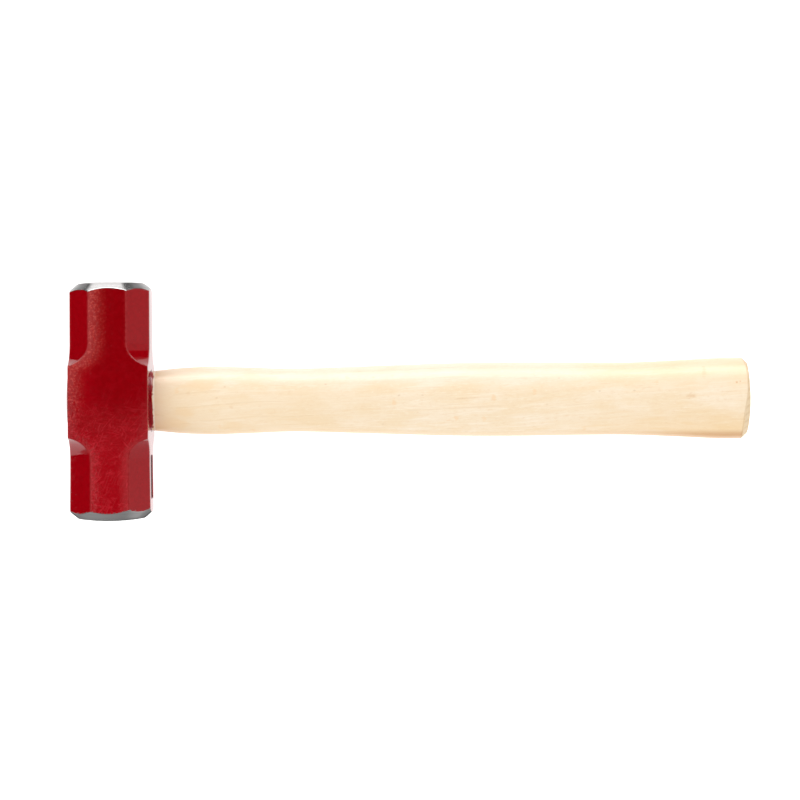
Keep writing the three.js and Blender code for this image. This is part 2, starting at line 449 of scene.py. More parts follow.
def enamel():
    """Deep red gloss enamel over ground steel, with hairline scratches, pits and dust in it, and painted shade,
    painted light and painted reflections on its flats.
    """
    t = new_material("red_enamel")
    place = t.millimetres()
    x, y, _ = t.parts(place)
    flat, painted_reflection_band = t.attribute("flat"), t.attribute("painted_reflection_band")

    scratches = t.most(*(scratch_set(t, place, *values) for values in SCRATCHES))
    scratches = t.times(scratches, t.times(t.step(y, 10, -25, 0.15, 1.0), flat))
    dust_distance, dust_colour = t.cells(place, 3.1)
    dust = t.times(t.step(dust_distance, 0.1, 0.03), t.step(t.parts(dust_colour)[0], 0.6, 0.65))
    grain = t.noise(place, 1.0, 2, 0.6)
    pits = t.times(t.step(grain, 0.58, 0.70), t.step(t.noise(place, 8.0), 0.42, 0.6))
    drops = t.times(t.noise(place, 1.9, 2, 0.6), painted_reflection_band)

    # Painted shade darkens the flats towards their upper end on the handle's side. On the corners the coat is
    # thin, with a few chips down to the steel.
    tone = t.step(t.noise(place, 2.4, 5, 0.7), 0.3, 0.7)
    thick = t.times(t.step(x, -14, -3), t.step(y, -20, 0), flat)
    speckle = t.times(t.step(t.noise(place, 1.1, 2, 0.6), 0.53, 0.38), t.times(flat, t.step(y, -2, -12)))
    painted_glints = t.times(t.step(t.noise(place, 1.3, 3, 0.65), 0.48, 0.64), painted_reflection_band)
    thin = t.times(t.attribute("corner"), t.step(t.noise(place, 2.4, 3), 0.35, 0.65))
    chip = t.step(t.plus(t.attribute("ground_edge"), t.spread(t.noise(place, 0.8, 3), -0.4, 0.4)), 0.98, 1.05)
    colour = t.layered(
        t.mix(thick, t.mix(tone, *ENAMEL["coat"]), t.mix(tone, *ENAMEL["painted shade coat"])),
        # Painted light on the lower end of the flats.
        (flat, t.step(y, -12, -36), 0.65, ENAMEL["painted lit coat"]),
        (speckle, 0.22, ENAMEL["speckle"]),
        # A painted pink reflection and painted bright flecks in the band beside the flats' edges.
        (painted_reflection_band, t.step(y, -8, 24), 0.22, ENAMEL["painted wash"]),
        (painted_glints, 0.48, t.mix(t.step(y, -20, 0), *ENAMEL["painted glint"])),
        (pits, 0.3, ENAMEL["pit"]),
        (scratches, 0.46, ENAMEL["scratch"]),
        (dust, 0.4, ENAMEL["dust"]),
        (thin, 0.3, ENAMEL["thin coat"]),
        (chip, ENAMEL["bare steel"]))
    normal = t.bumps((t.noise(place, 15.0, 1), 0.010), (t.noise(place, 2.6), 0.0022), (grain, 0.0011),
                     (drops, 0.11), (pits, 0.003), (scratches, 0.003), (dust, 0.012))
    rough = t.plus(t.spread(t.noise(place, 3.0, 3), 0.035, 0.06), t.times(chip, 0.2))
    return t.finish({"Base Color": colour, "Metallic": chip, "Roughness": rough, "Normal": normal, "IOR": 1.5})


def shaded_panel_enamel():
    """The paint that lies in the stamped panel: a dull red, made very dark as painted shade of the shallow recess.
    """
    t = new_material("shaded_panel_enamel")
    place = t.millimetres()
    tone = t.step(t.noise(place, 1.6, 4), 0.3, 0.7)
    return t.finish({"Base Color": t.mix(tone, (0.035, 0.001, 0.003), (0.075, 0.002, 0.006)),
                     "Roughness": t.linear(tone, 0, 1, 0.5, 0.7), "Specular IOR Level": 0.2,
                     "Normal": t.bumps((t.noise(place, 0.5, 3), 0.02))})


def turned_steel():
    """Bare steel, turned about the head's axis: fine rings, a few scuffs and a trace of rust."""
    t = new_material("turned_steel")
    place = t.millimetres(MIDDLE)
    x, y, z = t.parts(place)
    away = t.size(y)
    radius = t.math("SQRT", t.plus(t.times(x, x), t.times(z, z)))
    rings_at = t.joined(t.plus(radius, t.times(away, 0.35)), t.times(t.noise(place, 30.0), 0.6))
    rings = t.noise(rings_at, 0.22, 3, 0.65)
    broad = t.noise(rings_at, 1.3)
    scuff_way = t.mapped(place, rotation=(0, math.radians(35), 0), scale=(0.12, 1, 1))
    scuffs = t.times(t.step(t.noise(scuff_way, 0.7, 3, 0.7), 0.6, 0.7), t.step(t.noise(place, 6.0), 0.5, 0.65))
    stain = t.step(t.noise(place, 2.2, 5, 0.7), 0.66, 0.8)
    face = t.step(away, RIM_Y - 0.1, RIM_Y + 0.1)

    colour = t.layered(
        t.mix(t.step(broad, 0.3, 0.7), (0.53, 0.515, 0.51), (0.63, 0.615, 0.61)),
        (scuffs, 0.35, (0.74, 0.73, 0.72)),
        (stain, 0.4, (0.25, 0.17, 0.12)),
        (face, (0.72, 0.715, 0.71)))
    rough = t.times(t.spread(rings, 0.11, 0.19), t.linear(face, 0, 1, 1.0, 1.7))
    tangent = t.add("ShaderNodeTangent", direction_type="RADIAL", axis="Y").outputs[0]
    return t.finish({"Base Color": colour, "Metallic": 1.0, "Roughness": t.plus(rough, t.times(stain, 0.25)),
                     "Anisotropic": 0.6, "Anisotropic Rotation": 0.25, "Tangent": tangent,
                     "Normal": t.bumps((rings, 0.0010), (scuffs, 0.003))})


def wood_figure(t, leaning):
    """The grain of the ash, as fields from 0 to 1 in a frame that leans with the fibres."""
    def stretched(squeeze, location=(0, 0, 0)):
        return t.mapped(leaning, location, scale=(squeeze, 1, 1))

    fibres_at = stretched(0.035)
    rings = {"Vector": t.mapped(fibres_at, (0, 74, 31)), "Scale": 0.085, "Distortion": 3.5,
             "Detail": 2.0, "Detail Scale": 0.3}
    rings = t.add("ShaderNodeTexWave", rings, wave_type="RINGS", rings_direction="X", wave_profile="SIN")
    mottle = t.noise(stretched(0.4), 1.1, 3, 0.6)
    broken = t.step(t.noise(stretched(0.12), 5.0, 1), 0.42, 0.55)
    fleck_distance, fleck_colour = t.cells(stretched(0.5, (5, 2, 1)), 4.6)
    spot_distance, spot_colour = t.cells(t.mapped(leaning, (9, 4, 6), scale=(0.8, 0.6, 0.8)), 7.0)
    spot_distance = t.plus(spot_distance, t.spread(mottle, -0.08, 0.08))
    return {
        "late": t.step(rings.outputs["Fac"], 0.5, 0.98),
        "streaks": t.noise(fibres_at, 2.6, 3, 0.6),
        "fibres": t.noise(fibres_at, 0.3, 2, 0.6),
        "clouds": t.noise(stretched(0.45), 11.0, 3),
        "mottle": mottle,
        "flow": t.noise(stretched(0.1, (7, 3, 2)), 2.4, 4, 0.7),
        "threads": t.times(t.hairline(t.noise(stretched(0.02, (3, 9, 4)), 3.4, 0), 0.022), broken),
        "pores": t.step(t.cells(stretched(0.16), 0.9)[0], 0.14, 0.04),
        "flecks": t.times(t.step(fleck_distance, 0.13, 0.03), t.step(t.parts(fleck_colour)[1], 0.7, 0.8)),
        "spots": t.times(t.step(spot_distance, 0.20, 0.08), t.step(t.parts(spot_colour)[1], 0.55, 0.7)),
    }


def stain_layers(t, place, mottle):
    """The stains that are listed one by one, on the upper side only."""
    upper_side = t.step(t.parts(place)[2], 0, 4)
    ragged = t.spread(mottle, -0.35, 0.35)
    for x, y, length, width, strength, colour in STAINS:
        away = t.vector("MULTIPLY", t.vector("SUBTRACT", place, (x, y, 0)), (1 / length, 1 / width, 0))
        away = t.plus(t.vector("LENGTH", away), ragged)
        yield t.step(away, 1.2, 0.2), upper_side, strength, ASH[colour]


def painted_light_and_tone_layers(t, place, sideways, clouds):
    """Tones along the handle: warmer and darker towards the -Y side of the palm end and of the waist, golden
    clouds near the head, and painted shade and painted highlights.
    """
    x, y, _ = t.parts(place)
    towards_palm = t.step(x, 230, 345)
    return [
        (towards_palm, t.step(y, 2, -20), 0.48, ASH["warm palm"]),
        # Painted shade along the -Y edge of the palm end.
        (towards_palm, t.step(y, -17.5, -22.5), 0.82, ASH["shaded palm edge"]),
        # Painted shade over the +Y side of the palm end, dimming the highlight there.
        (towards_palm, t.step(y, 3, 13), 0.5, ASH["palm top shade"]),
        (t.step(x, 175, 120), t.step(y, 10, 2), 0.28, ASH["waist"]),
        # Painted highlight: paler on the +Y side, away from the palm end.
        (t.step(y, 7, 13), t.step(x, 310, 240), 0.4, ASH["painted highlight tone"]),
        # Painted shade on the wood beside the head.
        (t.step(x, 66, 24), 0.5, ASH["shade by head"]),
        (t.step(clouds, 0.5, 0.62), t.step(x, 110, 30), 0.5, ASH["golden cloud"]),
        # A painted highlight: a pale ring just beyond the paint beside the head.
        (t.step(x, HALF + 1.6, HALF + 2.0), t.step(x, HALF + 3.0, HALF + 2.3), 0.7, ASH["painted highlight ring"]),
        # Painted shade on the surfaces that face -Y.
        (t.step(sideways, -0.75, -0.98), 0.55, ASH["shaded lower side"]),
    ]


def paint_on_wood(t, place):
    """Where red paint has run onto the wood: beside the head, and over the rim of the tenon's top."""
    x, y, z = t.parts(place)
    oval = t.math("SQRT", t.plus(t.math("POWER", t.math("DIVIDE", y, EYE_TOP), 2.0),
                                 t.math("POWER", t.math("DIVIDE", z, EYE_TOP * FLATNESS), 2.0)))
    blots = t.spread(t.noise(place, 2.6, 4), -0.16, 0.16)
    on_top = t.times(t.step(t.plus(oval, blots), 0.80, 0.9), t.step(x, -20, -22))
    reach = t.spread(t.noise(t.mapped(place, scale=(0.3, 1, 1)), 2.0, 3), -1.4, 1.1)
    beside = t.times(t.step(t.math("SUBTRACT", x, reach), HALF + 1.7, HALF + 1.0), t.step(x, -10, 0))
    return t.most(on_top, beside)


def ash_wood():
    """Pale lacquered ash: fine mottled fibres, thin bright streaks, warm clouds and dull end grain."""
    t = new_material("ash_wood")
    place = t.millimetres(MIDDLE)
    sway = t.spread(t.noise(t.mapped(place, scale=(0.3, 1, 1)), 40.0, 1), -2.0, 2.0)
    swayed = t.vector("ADD", place, t.joined(0.0, sway, sway))
    grain = wood_figure(t, t.mapped(swayed, rotation=(0, math.radians(0.6), math.radians(-3.4))))
    endways, sideways, _ = t.parts(t.coordinate("Normal"))
    end_grain = t.step(t.size(endways), 0.3, 0.62)
    end_pores = t.step(t.cells(place, 0.5)[0], 0.32, 0.1)
    painted = paint_on_wood(t, place)

    colour = t.layered(
        t.mix(t.step(grain["clouds"], 0.32, 0.68), *ASH["base"]),
        (grain["late"], 0.11, ASH["late wood"]),
        (t.step(grain["mottle"], 0.46, 0.30), 0.4, ASH["dark mottle"]),
        (t.step(grain["mottle"], 0.54, 0.72), 0.4, ASH["light streak"]),
        (t.step(grain["streaks"], 0.58, 0.74), 0.4, ASH["light streak"]),
        (t.step(grain["streaks"], 0.42, 0.28), 0.35, ASH["dark streak"]),
        (t.step(grain["fibres"], 0.4, 0.2), 0.25, ASH["fibre"]),
        (t.step(grain["flow"], 0.52, 0.66), 0.4, ASH["golden flow"]),
        (t.step(grain["flow"], 0.47, 0.34), 0.45, ASH["pale flow"]),
        (grain["threads"], 0.3, ASH["thread"]),
        (grain["pores"], 0.12, ASH["pore"]),
        (grain["flecks"], 0.4, ASH["fleck"]),
        (grain["spots"], 0.45, ASH["spot"]),
        *stain_layers(t, place, grain["mottle"]),
        *painted_light_and_tone_layers(t, place, sideways, grain["clouds"]),
        (end_grain, t.layered(t.mix(grain["late"], *ASH["end grain"]), (end_pores, 0.3, ASH["end pore"]))),
        (t.attribute("rim"), 0.4, ASH["arris"]),
        (painted, 0.9, ENAMEL["run"]))
    normal = t.bumps((grain["fibres"], 0.010), (grain["mottle"], 0.010), (grain["pores"], 0.012),
                     (t.times(end_grain, t.noise(place, 0.7, 3)), 0.08))
    rough = t.plus(t.spread(grain["streaks"], 0.26, 0.36), t.times(end_grain, 0.25))
    rough = t.math("SUBTRACT", rough, t.times(painted, 0.15))
    return t.finish({"Base Color": colour, "Roughness": rough, "Normal": normal})


def wedge_wood():
    """The darker hardwood of the wedge, its end grain battered by the mallet."""
    t = new_material("wedge_wood")
    place = t.millimetres()
    grain = t.noise(t.mapped(place, scale=(0.08, 1, 1)), 0.5, 4, 0.65)
    paint = t.step(t.noise(place, 3.0, 4), 0.56, 0.64)
    colour = t.layered(t.mix(t.step(grain, 0.3, 0.7), (0.30, 0.165, 0.075), (0.52, 0.32, 0.17)),
                       (paint, 0.8, (0.2, 0.006, 0.01)))
    rough = t.spread(grain, 0.6, 0.8)
    return t.finish({"Base Color": colour, "Roughness": rough, "Normal": t.bumps((grain, 0.1))})


def wedge_steel():
    """Dark mild steel with hammer marks and rust in the hollows."""
    t = new_material("wedge_steel")
    place = t.millimetres()
    dents = t.noise(place, 1.1, 3)
    rust = t.step(t.noise(place, 1.7, 5, 0.7), 0.5, 0.66)
    colour = t.layered(t.mix(t.step(dents, 0.35, 0.65), (0.28, 0.27, 0.265), (0.46, 0.45, 0.44)),
                       (rust, 0.6, (0.19, 0.075, 0.03)))
    return t.finish({"Base Color": colour, "Metallic": t.linear(rust, 0, 1, 1.0, 0.35),
                     "Roughness": t.linear(rust, 0, 1, 0.34, 0.75), "Normal": t.bumps((dents, 0.12))})


# Head

def rolled(distance):
    """How far a flat has fallen away at a distance from its edge."""
    return ROLL_CURVE / 2 * np.maximum(ROLL_WIDTH - distance, 0) ** 2


def head_surfaces(points):
    """How far points lie outside the flats, the corner chamfers, the ground bevels and the crowned faces."""
    x, y, z = np.abs(points).T
    lower = points[:, 1] < 0
    outward = np.abs(points[:, 0] - np.where(lower, OFFSET_LOWER, OFFSET_UPPER)) + z
    run_out = np.where(lower, RUN_OUT_LOWER, RUN_OUT_UPPER)
    to_root = CHAMFER_ROOT - y
    to_centre = run_out - (outward / math.sqrt(2) - CHAMFER_DISTANCE)
    corner_cut = (np.hypot(np.maximum(to_root, 0), np.maximum(to_centre, 0)) - run_out
                  + np.minimum(np.maximum(to_root, to_centre), 0))
    to_chamfer = np.maximum(corner_cut, 0) * math.sqrt(2)

    along = CAMBER_ALONG * (y / RIM_Y) ** 2
    spread = SPREAD * smooth_step(CHAMFER_ROOT, RIM_Y, -points[:, 1])
    side = (x - HALF - spread + CAMBER_ACROSS * (z / HALF) ** 2 + along
            + rolled(-smooth_max(-to_chamfer, z - HALF, 2.0)))
    cheek = (z - HALF + CAMBER_ACROSS * (x / HALF) ** 2 + along
             + rolled(-smooth_max(-to_chamfer, x - HALF, 2.0)))

    radius = np.hypot(x, z)
    reach = y - END_TILT * points[:, 0] * np.sign(points[:, 1])
    bevel = (BEVEL_RISE * (radius - RIM_RADIUS) + reach - RIM_Y) / math.hypot(BEVEL_RISE, 1)
    crown = np.hypot(radius, reach - (RIM_Y + CROWN - CROWN_RADIUS)) - CROWN_RADIUS
    return smooth_max(side, cheek, EDGE), -corner_cut, bevel, crown


def head_field(points):
    """How far points lie outside the head, with its edges eased."""
    flats, chamfers, bevel, crown = head_surfaces(points)
    ends = smooth_max(bevel, crown, RIM_EDGE)
    return smooth_max(smooth_max(flats, chamfers, EDGE), ends, GROUND_EDGE)


def octagon(right_leg, left_leg):
    """Points round the head's section, its corners cut by those legs, packed closer towards each corner."""
    easing = np.geomspace(1, 0.012, 13)
    slope_shares = np.concatenate([easing[::-1] / 2, 1 - easing[1:] / 2])
    quarters = []
    for turns, leg in enumerate((right_leg, left_leg, left_leg, right_leg)):
        straight = HALF - leg
        flat = [(HALF, straight - straight * share) for share in easing]
        slope = [(HALF - leg * share, straight + leg * share) for share in slope_shares]
        other = [(place, HALF) for _, place in flat[::-1]]
        quarter = np.array([*flat, (HALF, straight), *slope, (straight, HALF), *other[:-1]])
        for _ in range(turns):
            quarter = np.stack([-quarter[:, 1], quarter[:, 0]], axis=1)
        quarters.append(quarter)
    return np.concatenate(quarters)


def chamfer_leg(y, run_out, full_leg):
    """The leg of the corner cut at a distance along the head, down to a little where there is none."""
    least = 1.3
    from_root = min(max(CHAMFER_ROOT - y, 0), run_out)
    left = full_leg / math.sqrt(2) - (run_out - math.sqrt(run_out**2 - from_root**2))
    return max(least, left * math.sqrt(2))


def head_rings(run_out, offset):
    """Rings from the middle of the head to the centre of one striking face, along every crease."""
    steepest = math.acos(1 - CHAMFER_DEPTH / run_out)
    crest = CHAMFER_ROOT - run_out * math.sin(steepest)
    last_straight = RIM_Y - 13
    legs = CHAMFER_LEG - offset, CHAMFER_LEG + offset
    rings = []

    def add(outline, y):
        rings.append(np.column_stack([outline[:, 0], np.broadcast_to(y, len(outline)), outline[:, 1]]))

    for y in [*np.linspace(0, crest - 3, 7), *(crest - np.geomspace(2.2, 0.1, 8)),
              *(CHAMFER_ROOT - run_out * np.sin(np.linspace(steepest, 0, 26))),
              *np.linspace(CHAMFER_ROOT, last_straight, 10)[1:]]:
        add(octagon(*(chamfer_leg(y, run_out, leg) for leg in legs)), y)

    outline = octagon(*legs)
    radius = np.hypot(*outline.T)
    heading = outline / radius[:, None]
    crease = RIM_Y + BEVEL_RISE * (RIM_RADIUS - radius)
    for share in np.geomspace(0.8, 0.004, 13):
        add(heading * radius[:, None], crease - (crease - last_straight) * share)
    for share in (1 - np.cos(np.linspace(0, math.pi, 15))) / 2:
        across = radius + (RIM_RADIUS - radius) * share
        add(heading * across[:, None], RIM_Y + BEVEL_RISE * (RIM_RADIUS - across))
    for across in RIM_RADIUS - np.geomspace(0.08, RIM_RADIUS - 0.5, 16):
        add(heading * across, RIM_Y + CROWN - CROWN_RADIUS + math.sqrt(CROWN_RADIUS**2 - across**2))
    return rings


def oval_ways(count):
    """Angles round the handle from +Y, and the unit ways they point in across it."""
    angle = np.linspace(0, 2 * math.pi, count, endpoint=False)
    return angle, np.stack([np.cos(angle), np.sin(angle)], axis=1)


def oval(half):
    """Half the height and half the thickness of the handle's oval, from one or many half heights."""
    return np.stack([half, np.multiply(half, FLATNESS)], axis=-1)


def oval_ring(x, half, extra=0.0, count=ROUND):
    """A ring of the handle's oval about the X axis, grown all round by the extra."""
    return np.column_stack([np.broadcast_to(x, count), oval_ways(count)[1] * (oval(half) + extra)])


def eye_half(x):
    """Half the eye's height at places along it."""
    flare = np.where(np.greater(x, 0), EYE_MOUTH, EYE_TOP) - EYE_MID
    return EYE_MID + flare * np.square(np.divide(x, HALF))


def eye_tool():
    """The hourglass of the eye, flared at both ends so that its rims are round."""
    rim_from = HALF - EYE_RIM
    rim = rim_from + EYE_RIM * np.sin(np.linspace(0.2, 1.35, 8))
    stations = np.concatenate([np.linspace(0, rim_from, 10), rim, [HALF + OVERSHOOT]])
    rings = []
    for x in [*-stations[::-1], *stations[1:]]:
        into = min(max(abs(x) - rim_from, 0), EYE_RIM)
        rings.append(oval_ring(x, eye_half(x), EYE_RIM - math.sqrt(EYE_RIM**2 - into**2)))
    return mesh_object("eye_tool", *skin(rings))


def panel_tool():
    """A shallow rectangular stamp with round corners and sloping sides, for the head's handle side."""
    depth, corner, least = PANEL["depth"], PANEL["corner"], 0.4
    rings = []
    for sunk, grow in ((1.0, 1.1), (0.0, 0.12), (-0.12, 0.0), (-depth + 0.1, -0.3), (-depth, -0.5), (-depth, -6)):
        reach = max(corner + grow, least)
        straight = np.array([PANEL["half_length"], PANEL["half_height"]]) - corner + min(grow + corner - least, 0)
        ring = []
        for quarter, signs in enumerate(((1, 1), (-1, 1), (-1, -1), (1, -1))):
            for step in range(7):
                angle = math.pi / 2 * (quarter + step / 6)
                ring.append([sunk, *(straight * signs + reach * np.array([math.cos(angle), math.sin(angle)]))])
        rings.append(np.array(ring) + (HALF, PANEL["y"], 0))
    return mesh_object("panel_tool", *skin(rings))


def hammer_head(paint, steel, panel):
    """The head, with numbers on its points that say where paint is flat, thin or ground away, and where the band
    of painted reflection lies.
    """
    lower_end = [ring * (1, -1, 1) for ring in head_rings(RUN_OUT_LOWER, OFFSET_LOWER)]
    points, faces = skin([*lower_end[:0:-1], *head_rings(RUN_OUT_UPPER, OFFSET_UPPER)])
    head = mesh_object("head", settle(points, head_field), faces, paint, steel, panel)
    combine(head, eye_tool())
    combine(head, panel_tool())
    clean(head)

    points = points_of(head)
    flats, chamfers, bevel, _ = head_surfaces(points)
    store(head, "corner", 1 - smooth_step(0.3, 1.1, np.abs(flats - chamfers)))
    store(head, "ground_edge", 1 - smooth_step(0.0, 1.6, -bevel))
    on_flat = smooth_step(0.0, 0.4, flats - chamfers)
    store(head, "flat", on_flat)
    # The band of painted reflection: beside the edges of the flats on the side away from the handle, and faintly
    # over their lower half.
    near_edge = smooth_step(12, 1, np.minimum(-chamfers * math.sqrt(2), HALF - np.abs(points[:, 0])))
    left_side = smooth_step(4, -4, points[:, 0])
    front_half = smooth_step(-2, -14, points[:, 1])
    store(head, "painted_reflection_band", on_flat * np.maximum(near_edge * left_side, 0.22 * front_half))

    centres = np.array([face.center for face in head.data.polygons]) / MM - MIDDLE
    flats, chamfers, bevel, crown = head_surfaces(centres)
    ground = np.maximum(bevel, crown) > np.maximum(flats, chamfers)
    margin = 1.4
    in_panel = ((centres[:, 0] > 0) & (flats < 0.1 - PANEL["depth"])
                & (np.abs(centres[:, 1] - PANEL["y"]) < PANEL["half_length"] + margin)
                & (np.abs(centres[:, 2]) < PANEL["half_height"] + margin))
    index = np.where(ground, 1, np.where(in_panel, 2, 0)).astype(np.int32)
    head.data.polygons.foreach_set("material_index", index)
    sharpen(head, 32)
    return head


# Handle and wedges

def spline(stations, steps=12):
    """A Catmull-Rom curve through the stations, as lists of places and half heights."""
    stations = np.array(stations)
    padded = [2 * stations[0] - stations[1], *stations, 2 * stations[-1] - stations[-2]]
    t = np.linspace(0, 1, steps, endpoint=False)[:, None]
    runs = []
    for a, b, c, d in zip(padded, padded[1:], padded[2:], padded[3:]):
        runs.append(0.5 * (2 * b + (c - a) * t + (2 * a - 5 * b + 4 * c - d) * t**2
                           + (3 * b - a - 3 * c + d) * t**3))
    return np.concatenate([*runs, [stations[-1]]]).T


OUTLINE_X, OUTLINE_HALF = spline(OUTLINE)


def handle_half(x):
    """Half the handle's height at places along it."""
    return np.where(np.less(x, HALF), eye_half(x) - FIT, np.interp(x, OUTLINE_X, OUTLINE_HALF))


def end_bevel(angle):
    """How wide the hand-sanded bevel of the palm end is: wider on its lower edge and at its very top."""
    towards_top = np.cos(angle)
    lower = smooth_step(0.3, -0.5, towards_top)
    return 1.1 + 2.1 * lower + 1.5 * np.maximum(towards_top, 0) ** 10 + 0.1 * np.sin(5 * angle + 0.7)


def dome_x(across):
    """How far along the handle its domed end lies, at places across it."""
    return HANDLE_END - (across**2).sum(axis=1) / (2 * DOME_RADIUS)


def handle_rings():
    """Rings from the tenon's top to the middle of the palm end."""
    top_half = handle_half(TENON_TOP)
    rings = [oval_ring(TENON_TOP, top_half * share) for share in (0.08, 0.3, 0.55, 0.8, 0.93)]
    for turn in np.linspace(math.pi / 2, 0.0, 6):
        rings.append(oval_ring(TENON_TOP + TENON_EDGE * (1 - math.sin(turn)), top_half,
                               -TENON_EDGE * (1 - math.cos(turn))))
    last_straight = HANDLE_END - 16
    for x in [*np.linspace(TENON_TOP + 2.5, HALF, 18), *np.linspace(HALF + 1.5, last_straight, 150)]:
        rings.append(oval_ring(x, handle_half(x)))

    angle, ways = oval_ways(ROUND)
    width = end_bevel(angle)
    outer = oval(handle_half(HANDLE_END - 5))
    edge, inner = ways * outer, ways * (outer - width[:, None] * 0.95)
    start_x = dome_x(inner) - width
    for share in 1 - np.geomspace(1, 0.012, 14)[1:]:
        x = last_straight + (start_x - last_straight) * share
        rings.append(np.column_stack([x, ways * oval(handle_half(x))]))
    for share in (1 - np.cos(np.linspace(0, math.pi, 10))) / 2:
        rings.append(np.column_stack([start_x + (dome_x(inner) - start_x) * share, edge + (inner - edge) * share]))
    for share in (0.985, 0.96, 0.92, 0.85, 0.72, 0.55, 0.35, 0.15, 0.03):
        rings.append(np.column_stack([dome_x(inner * share), inner * share]))
    return rings


def tapered_plate(name, start, end, thick_start, thick_end, width, *materials):
    """A wedge driven along +X: thick along Z, wide along Y."""
    points = [(x, y * width / 2, z * thick / 2) for x, thick in ((start, thick_start), (end, thick_end))
              for y, z in ((-1, -1), (1, -1), (1, 1), (-1, 1))]
    faces = [(0, 1, 2, 3), (7, 6, 5, 4), (0, 4, 5, 1), (1, 5, 6, 2), (2, 6, 7, 3), (3, 7, 4, 0)]
    return mesh_object(name, points, faces, *materials)


def turn_wedge(piece, side):
    """Turns a steel wedge about X and shifts it along the eye. Side is -1 or 1."""
    angle = math.radians(90 - side * STEEL_WEDGE["turn"])
    cosine, sine = math.cos(angle), math.sin(angle)
    x, y, z = points_of(piece).T
    turned = np.column_stack([x, y * cosine - z * sine + side * STEEL_WEDGE["offset"], y * sine + z * cosine])
    piece.data.vertices.foreach_set("co", ((turned + MIDDLE) * MM).ravel())
    piece.data.update()


def cut_slots(piece):
    """Cuts the slots of both steel wedges."""
    shape, room = STEEL_WEDGE, 2 * WEDGE_FIT
    slope = (shape["top"] - shape["tip"]) / shape["depth"]
    for side in (-1, 1):
        tool = tapered_plate("slot_tool", TENON_TOP - OVERSHOOT, TENON_TOP + shape["depth"] + WEDGE_FIT,
                             shape["top"] + OVERSHOOT * slope + room, shape["tip"] + room, shape["width"] + room)
        turn_wedge(tool, side)
        combine(piece, tool)


def wooden_handle(wood):
    """The handle, a little uneven along its length, with the saw cut and the slots of its wedges."""
    points, faces = skin(handle_rings())
    x, y, z = points.T
    rng = np.random.default_rng(7)
    waves = 7
    wander = np.zeros(len(points))
    for _ in range(waves):
        length = rng.uniform(60, 190)
        wander += np.sin(x / length * 2 * math.pi + rng.uniform(0, 6.3) + np.arctan2(z, y) * rng.integers(0, 3))
    ease_in = smooth_step(HALF + 1, HALF + 30, x) * smooth_step(HANDLE_END - 1, HANDLE_END - 12, x)
    shrink = 1 - 0.0016 * (1 + wander / waves) * ease_in
    points = np.column_stack([x, y * shrink, z * shrink])
    handle = mesh_object("ash_handle", points, faces, wood)
    angle = np.arctan2(points[:, 2] / FLATNESS, points[:, 1])
    from_bevel = x - (dome_x(points[:, 1:]) - end_bevel(angle))
    store(handle, "rim", 1 - smooth_step(0.15, 0.5, np.abs(from_bevel)))

    shape = WOOD_WEDGE
    widening = OVERSHOOT * (shape["top"] - shape["tip"]) / shape["depth"]
    combine(handle, tapered_plate(
        "kerf_tool", TENON_TOP - OVERSHOOT, TENON_TOP + shape["depth"] + OVERSHOOT,
        shape["top"] + widening + 2 * WEDGE_FIT, shape["tip"] - widening + 2 * WEDGE_FIT, 2 * HALF))
    cut_slots(handle)
    sharpen(handle, 38)
    return handle


def wooden_wedge(wood):
    """The wooden wedge, trimmed to the tenon and split by the steel wedges."""
    wedge = tapered_plate("wood_wedge_driven", TENON_TOP + 0.15, TENON_TOP + WOOD_WEDGE["depth"],
                          WOOD_WEDGE["top"], WOOD_WEDGE["tip"], 2 * HALF, wood)
    rings = [oval_ring(x, handle_half(x) - 0.1, count=96) for x in np.linspace(TENON_TOP - 1, 12, 24)]
    combine(wedge, mesh_object("tenon_tool", *skin(rings)), "INTERSECT")
    cut_slots(wedge)
    soften(wedge, 0.12)
    return wedge


def steel_wedge(side, number, steel):
    """A step wedge: it thickens towards its top, and falls back a little at each of its barbs."""
    shape = STEEL_WEDGE
    steps, fall, sunk = 4, 0.25, 0.1
    growth = shape["top"] - shape["tip"]
    outline = []
    for step in range(steps):
        thin = shape["tip"] + growth * step / steps
        thick = shape["tip"] + growth * (step + 1) / steps
        outline.append((TENON_TOP + shape["depth"] * (1 - step / steps), thin / 2 - (fall if step else 0)))
        outline.append((TENON_TOP + sunk + (shape["depth"] - sunk) * (1 - (step + 1) / steps), thick / 2))
    profile = [*outline, *[(x, -z) for x, z in outline[::-1]]]
    rings = [np.array([(x, y, z) for x, z in profile]) for y in np.linspace(-0.5, 0.5, 9) * shape["width"]]
    wedge = mesh_object(f"steel_wedge_driven_{number}", *skin(rings, "polygons"), steel)
    turn_wedge(wedge, side)
    soften(wedge, 0.18)
    return wedge


def paint_bead(paint):
    """The fillet of paint where the handle meets the rim of the eye, with a wavy outer edge."""
    rng = np.random.default_rng(4)
    angle, ways = oval_ways(240)
    wavy = np.zeros(len(angle))
    for turns in range(2, 26):
        wavy += rng.normal() / turns**0.8 * np.sin(turns * angle + rng.uniform(0, 6.3))
    wavy = wavy / np.abs(wavy).max()
    width = BEAD_WIDTH * (0.45 + 0.55 * np.abs(np.sin(angle))) * (1 + 0.3 * wavy)
    height = BEAD_HEIGHT * (1 + 0.35 * wavy)

    def ring(share, lift):
        x = HALF + (width * share - 0.7)
        return np.column_stack([x, ways * (oval(handle_half(x)) + np.reshape(lift, (-1, 1)))])

    rings = [ring(share, height * math.sin(math.pi * min(1, share * 0.9 + 0.1)) ** 0.7 - 0.04)
             for share in np.linspace(0, 1, 13)]
    rings += [ring(share, -0.3) for share in np.linspace(1, 0, 5)]
    bead = mesh_object("paint_bead", *skin(rings, "joined"), paint)
    sharpen(bead, 60)
    return bead


# Stage

